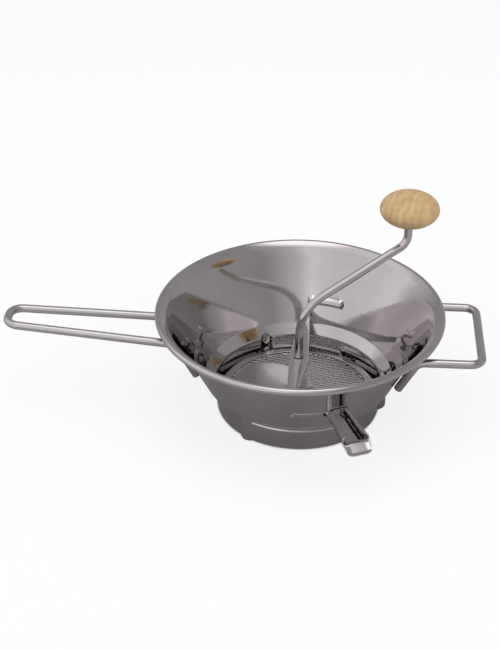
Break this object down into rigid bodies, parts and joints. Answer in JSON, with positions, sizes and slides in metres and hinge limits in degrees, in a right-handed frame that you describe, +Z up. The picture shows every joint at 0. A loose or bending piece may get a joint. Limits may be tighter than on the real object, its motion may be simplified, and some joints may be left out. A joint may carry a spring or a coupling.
{
  "type": "food mill",
  "caption": "Hand-cranked steel food mill: conical bowl with wire handles and pot hooks, bayonet sieve disc, and a sprung crank with a sloped pressing blade and a wooden knob.",
  "frame": {"origin": "centre of the bounding box at the foot of the skirt, which stands at z = 0; the bowl's own axis stands at x = 0.04825 m, y = 0", "axes": "+Z up along the bowl's axis, +X from the long handle's tip towards the short handle, +Y towards the rear pot hook"},
  "size_m": [0.4013, 0.2618, 0.1816],
  "materials": {
    "polished_steel": "mirror-polished stainless steel",
    "satin_steel": "satin stainless steel",
    "beech": "bare, light beech"
  },
  "bodies": {
    "mill": {"bowl": "polished_steel", "long_handle": "satin_steel", "short_handle": "polished_steel", "front_pot_hook": "polished_steel", "rear_pot_hook": "polished_steel", "crossbar": "polished_steel", "spring_upper_washer": "polished_steel", "pressure_spring": "polished_steel"},
    "disc": {"disc_ring": "polished_steel", "sieve_plate": "polished_steel", "disc_eyelet": "polished_steel"},
    "spring_seat": {"spring_lower_washer": "polished_steel"},
    "crank": {"crank_rod": "polished_steel", "blade_hub": "polished_steel", "hub_pin": "polished_steel", "blade": "satin_steel", "knob_washer": "polished_steel"},
    "grip": {"knob": "beech", "knob_bush": "polished_steel"}
  },
  "joints": [
    {"name": "disc_twist", "type": "hinge", "parent": "mill", "child": "disc", "pos_m": [0.04825, 0, 0.005], "axis": [0, 0, 1], "range_deg": [-59.5, 0]},
    {"name": "crank_lift", "type": "slide", "parent": "mill", "child": "spring_seat", "axis": [0, 0, 1], "range_m": [0, 0.004], "stiffness_N_per_m": 800, "springref_m": -0.006, "deforming": ["pressure_spring"]},
    {"name": "crank_turn", "type": "hinge", "parent": "spring_seat", "child": "crank", "pos_m": [0.04825, 0, 0.03], "axis": [0, 0, 1], "continuous": true},
    {"name": "knob_spin", "type": "hinge", "parent": "crank", "child": "grip", "pos_m": [0.13544, 0.04066, 0.16], "axis": [0, 0, 1], "continuous": true}
  ]
}
